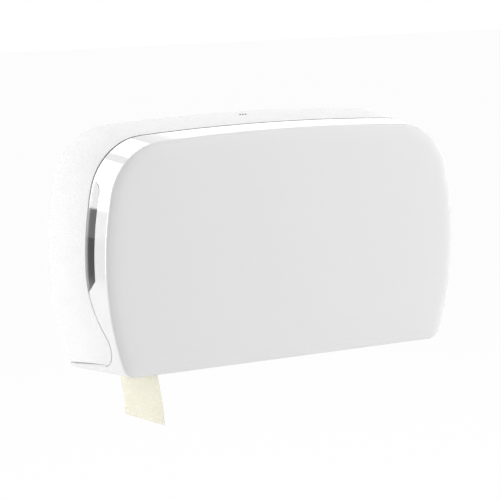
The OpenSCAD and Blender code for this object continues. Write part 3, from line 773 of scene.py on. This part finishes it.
def addRails(more):
    # two grooved rails for the shutter
    c = cover
    rear, front = c["exitDepth"]
    foot, low, top = c["railFoot"], c["shutterLow"] - c["lowPlay"], c["shutterTop"] + c["play"]
    for edge, way in ((rear, 1), (front, -1)):
        outer, inner = edge - way * c["railOut"], edge - way * c["railIn"]
        lip = inner + way * c["lip"]
        more.across(c["railX"], [(outer, foot), (lip, foot), (lip, low), (inner, low), (inner, top), (lip, top),
                                 (lip, top + c["rail"]), (outer, top + c["rail"])])


def makeFrame():
    c, band = cover, caseForm["bandDepth"]
    body = frameWall()
    cutter = Mesh()
    for side in (-1, 1):
        exitX = sorted((side * c["exitIn"], side * (c["exitIn"] + c["exitWidth"])))
        cutter.box(exitX, c["exitDepth"], c["baseCut"], c["sharp"])
        notchX = (side * shell["lugX"] - c["notchHalf"], side * shell["lugX"] + c["notchHalf"])
        cutter.box(notchX, c["notchDepth"], c["notchHeights"], c["sharp"])
        cutter.across(sorted(side * x for x in c["windowCut"]), windowOpening())
    cut(body, cutter.piece("cutter"))
    cut(body, Mesh().box(c["gripX"], c["gripDepth"], c["baseCut"], c["sharp"]).piece("slot"))
    more = Mesh()
    outer, inner = (ring(inset, band) for inset in c["flange"])
    outerBack, innerBack = ([(x, d - c["flangeThick"], h) for x, d, h in points] for points in (outer, inner))
    more.wheel([outer, inner, innerBack, outerBack])
    addKnuckles(more)
    addRails(more)
    more.box(*c["strikerSeat"], c["seatEdge"])
    dress(merge("glossyCoverFrame", [body, more.piece("more")]), "rim_white", "cover", "cover_frame")


makeFrame()
print("cover frame made")


panel = {"round": [(0, 0), (0.1, 0.4), (0.3, 0.8), (0.65, 1.3), (1.2, 1.85), (1.8, 2.25), (2.5, 2.57), (3.5, 2.9),
                   (5, 3.3), (7, 3.75), (9, 4.09), (12, 4.42), (15, 4.59), (18, 4.66)],
         "crown": 0.34, "crownWidth": 30, "thick": 2.6, "crownSteps": 12, "fieldSteps": 7, "smoothAngle": 35}


def panelRings(inset):
    # rings from the rim to the middle: the rounded edge, a slight crown and the flat field
    p, band = panel, caseForm["bandDepth"]
    width, height = p["round"][-1]
    rings = [ring(inset + across, band + out * (1 - inset / height)) for across, out in p["round"]]
    for k in range(1, p["crownSteps"] + 1):
        share = k / p["crownSteps"]
        lift = p["crown"] * math.sin(math.pi / 2 * share)
        rings.append(ring(inset + width + p["crownWidth"] * share, band + height - inset + lift))
    last = rings[-1]
    middle = sum(h for _, _, h in last) / len(last)
    for k in range(1, p["fieldSteps"]):
        size = 1 - k / p["fieldSteps"]
        rings.append([(x * size, d, middle + (h - middle) * size) for x, d, h in last])
    return rings


def makePanel():
    mesh = Mesh().loft(panelRings(panel["thick"])[::-1] + panelRings(0), poles=True)
    dress(mesh.piece("mattFrontPanel", panel["smoothAngle"]), "panel_white", "cover", "front_panel")


makePanel()
print("front panel made")


rolls = {"back": 13, "front": 97, "coreRadius": 31.55, "left": 62, "right": 95, "seed": 5, "layers": 34,
         "count": 144, "rim": 0.8, "rimRound": ((0.5, 0.25), (1.2, 0.05)), "rimRows": 8, "loose": (0.05, 0.35),
         "firmRadius": 40, "soft": 0.35, "lobes": 3, "wave": 19, "smoothAngle": 50}


def makeRoll(name, x, radius, body):
    # wound paper: end faces with fine layers, soft rims and a rim that isn't quite round
    r = rolls
    random.seed(r["seed"] + int(radius))
    back, front = r["back"], r["front"]
    least, spread = r["loose"]
    wound = radius - r["coreRadius"] - r["rim"]
    layers = [r["coreRadius"] + wound * k / r["layers"] for k in range(r["layers"] + 1)]
    path = [(back + least + random.uniform(0, spread), layer) for layer in layers]
    path += [(back + d, radius - g) for d, g in r["rimRound"]]
    path += [(back + (front - back) * k / r["rimRows"], radius - r["rimRound"][-1][1])
             for k in range(1, r["rimRows"])]
    path += [(front - d, radius - g) for d, g in reversed(r["rimRound"])]
    path += [(front - least - random.uniform(0, spread), layer) for layer in reversed(layers)]

    def wobble(depth, radiusHere, turn):
        share = max(0, (radiusHere - r["firmRadius"]) / (radius - r["firmRadius"]))
        return -share * r["soft"] * (1 + math.sin(r["lobes"] * turn + radius) * math.cos(depth / r["wave"])) / 2

    mesh = Mesh().tube(x, shell["axleAt"], path, r["count"], wobble)
    dress(mesh.piece(name, r["smoothAngle"]), "tissue", body, "roll_" + name.split("Paper")[0])


makeRoll("leftPaperRoll", -shell["axleX"], rolls["left"], "left_roll")
makeRoll("rightPaperRoll", shell["axleX"], rolls["right"], "right_roll")


sheet = {"drop": 60, "endX": 163.5, "topX": 181.6, "bend": 0.35, "thick": 0.24, "margin": 0.1, "rows": 64,
         "columns": 30, "wave": 0.9, "waveTurns": 2.4, "waveLean": 1.5, "calm": 0.5, "measureSteps": 60}


def sheetPoint(u, v, lift):
    # u goes across the paper from the wall, v down from the roll
    s = sheet
    back, front = rolls["back"] + s["margin"], rolls["front"] - s["margin"]
    h = shell["axleAt"] - (shell["axleAt"] + s["drop"]) * v
    b = max(v - s["bend"], 0) / (1 - s["bend"])
    x = s["topX"] - (s["topX"] - s["endX"]) * b * b * (3 - 2 * b)
    x += s["wave"] * b * math.sin(s["waveTurns"] * math.pi * u + s["waveLean"] * v) * (1 - s["calm"] * b)
    return -(x + lift), back + (front - back) * u, h


def makeSheet():
    s = sheet
    loops = []
    for r in range(s["rows"] + 1):
        v = r / s["rows"]
        near = [sheetPoint(c / s["columns"], v, s["thick"] / 2) for c in range(s["columns"] + 1)]
        far = [sheetPoint(c / s["columns"], v, -s["thick"] / 2) for c in range(s["columns"], -1, -1)]
        loops.append(near + far)
    piece = dress(Mesh().loft(loops).piece("hangingSheet", rolls["smoothAngle"]), "tissue", "case", "paper_sheet")
    course = [sheetPoint(0.5, k / s["measureSteps"], 0) for k in range(s["measureSteps"] + 1)]


makeSheet()
print("paper made")


studio = {"floor": -0.62, "floorSize": 14, "floorColor": (0.9, 0.9, 0.9), "floorRoughness": 0.9, "floorWhite": 0.96,
          "fill": 0.36}


def makeFloor():
    bm = bmesh.new()
    size = studio["floorSize"]
    corners = ((-size, -size), (size, -size), (size, size), (-size, size))
    bm.faces.new([bm.verts.new((x, y, studio["floor"])) for x, y in corners])
    floor = newObject("floor", bm)
    paint = Paint("paleFloor", studio["floorColor"], studio["floorRoughness"])
    white = paint.node("Emission", {}, {"Color": (1, 1, 1), "Strength": 1.0})
    rays = paint.node("LightPath", {}, {})
    seen = Number(paint, rays.outputs["Is Camera Ray"]) * studio["floorWhite"]
    blend = paint.node("MixShader", {}, {0: seen, 1: paint.shader.outputs[0], 2: white.outputs[0]})
    paint.feed(paint.end.inputs["Surface"], blend.outputs[0])
    floor.data.materials.append(paint.material)


def makeWorld():
    # white wherever it is seen, mirrored or looked through, and a soft fill for everything else
    world = bpy.data.worlds.new("studio")
    bpy.context.scene.world = world
    world.use_nodes = True
    sky = Shading(world.node_tree)
    rays = sky.node("LightPath", {}, {})
    seen, mirrored, through = (Number(sky, rays.outputs["Is " + kind + " Ray"])
                               for kind in ("Camera", "Glossy", "Transmission"))
    fill = sky.node("Background", {}, {"Color": (1, 1, 1), "Strength": studio["fill"]})
    white = sky.node("Background", {}, {"Color": (1, 1, 1), "Strength": 1.0})
    blend = sky.node("MixShader", {}, {0: seen | mirrored | through, 1: fill.outputs[0], 2: white.outputs[0]})
    sky.node("OutputWorld", {}, {"Surface": blend.outputs[0]})


# lamps by direction from the object: turn to the left of straight behind, elevation, distance and size
lamps = {
    "backLow": {"turn": 43.3, "rise": 25.2, "away": 2.62, "size": (0.5, 1.93), "tilt": 24.3, "glow": 5.5},
    "backHigh": {"turn": -3.9, "rise": 43.8, "away": 2.61, "size": (1.41, 0.36), "tilt": 18.8, "glow": 5.5},
    "backRight": {"turn": -37, "rise": 10, "away": 2.7, "size": (0.75, 1.25), "tilt": 0, "glow": 0.8},
    "side": {"turn": 68, "rise": 0, "away": 3.0, "size": (0.9, 1.1), "tilt": 0, "glow": 10.8},
    "rightSide": {"turn": -96, "rise": 8, "away": 3.0, "size": (1.0, 1.3), "tilt": 0, "glow": 5.8},
    "top": {"turn": 10, "rise": 86, "away": 2.4, "size": (1.8, 1.0), "tilt": 0, "glow": 3.1},
    "roomKey": {"turn": -150, "rise": 18, "away": 3.4, "size": (1.8, 1.8), "tilt": 0, "glow": 4.8},
}


def makeLamp(name, facts):
    lamp = bpy.data.lights.new(name, "AREA")
    lamp.shape = "RECTANGLE"
    lamp.size, lamp.size_y = facts["size"]
    lamp.energy = facts["glow"] * math.pi * lamp.size * lamp.size_y
    turn, rise = math.radians(facts["turn"]), math.radians(facts["rise"])
    spot = Vector((-math.sin(turn) * math.cos(rise), math.cos(turn) * math.cos(rise), math.sin(rise))) * facts["away"]
    obj = bpy.data.objects.new(name, lamp)
    obj.location = spot
    obj.rotation_mode = "QUATERNION"
    obj.rotation_quaternion = (-spot).to_track_quat("-Z", "Y") @ Quaternion((0, 0, 1), math.radians(facts["tilt"]))
    bpy.context.scene.collection.objects.link(obj)


makeFloor()
makeWorld()
for lampName, lampFacts in lamps.items():
    makeLamp(lampName, lampFacts)
print("studio made")
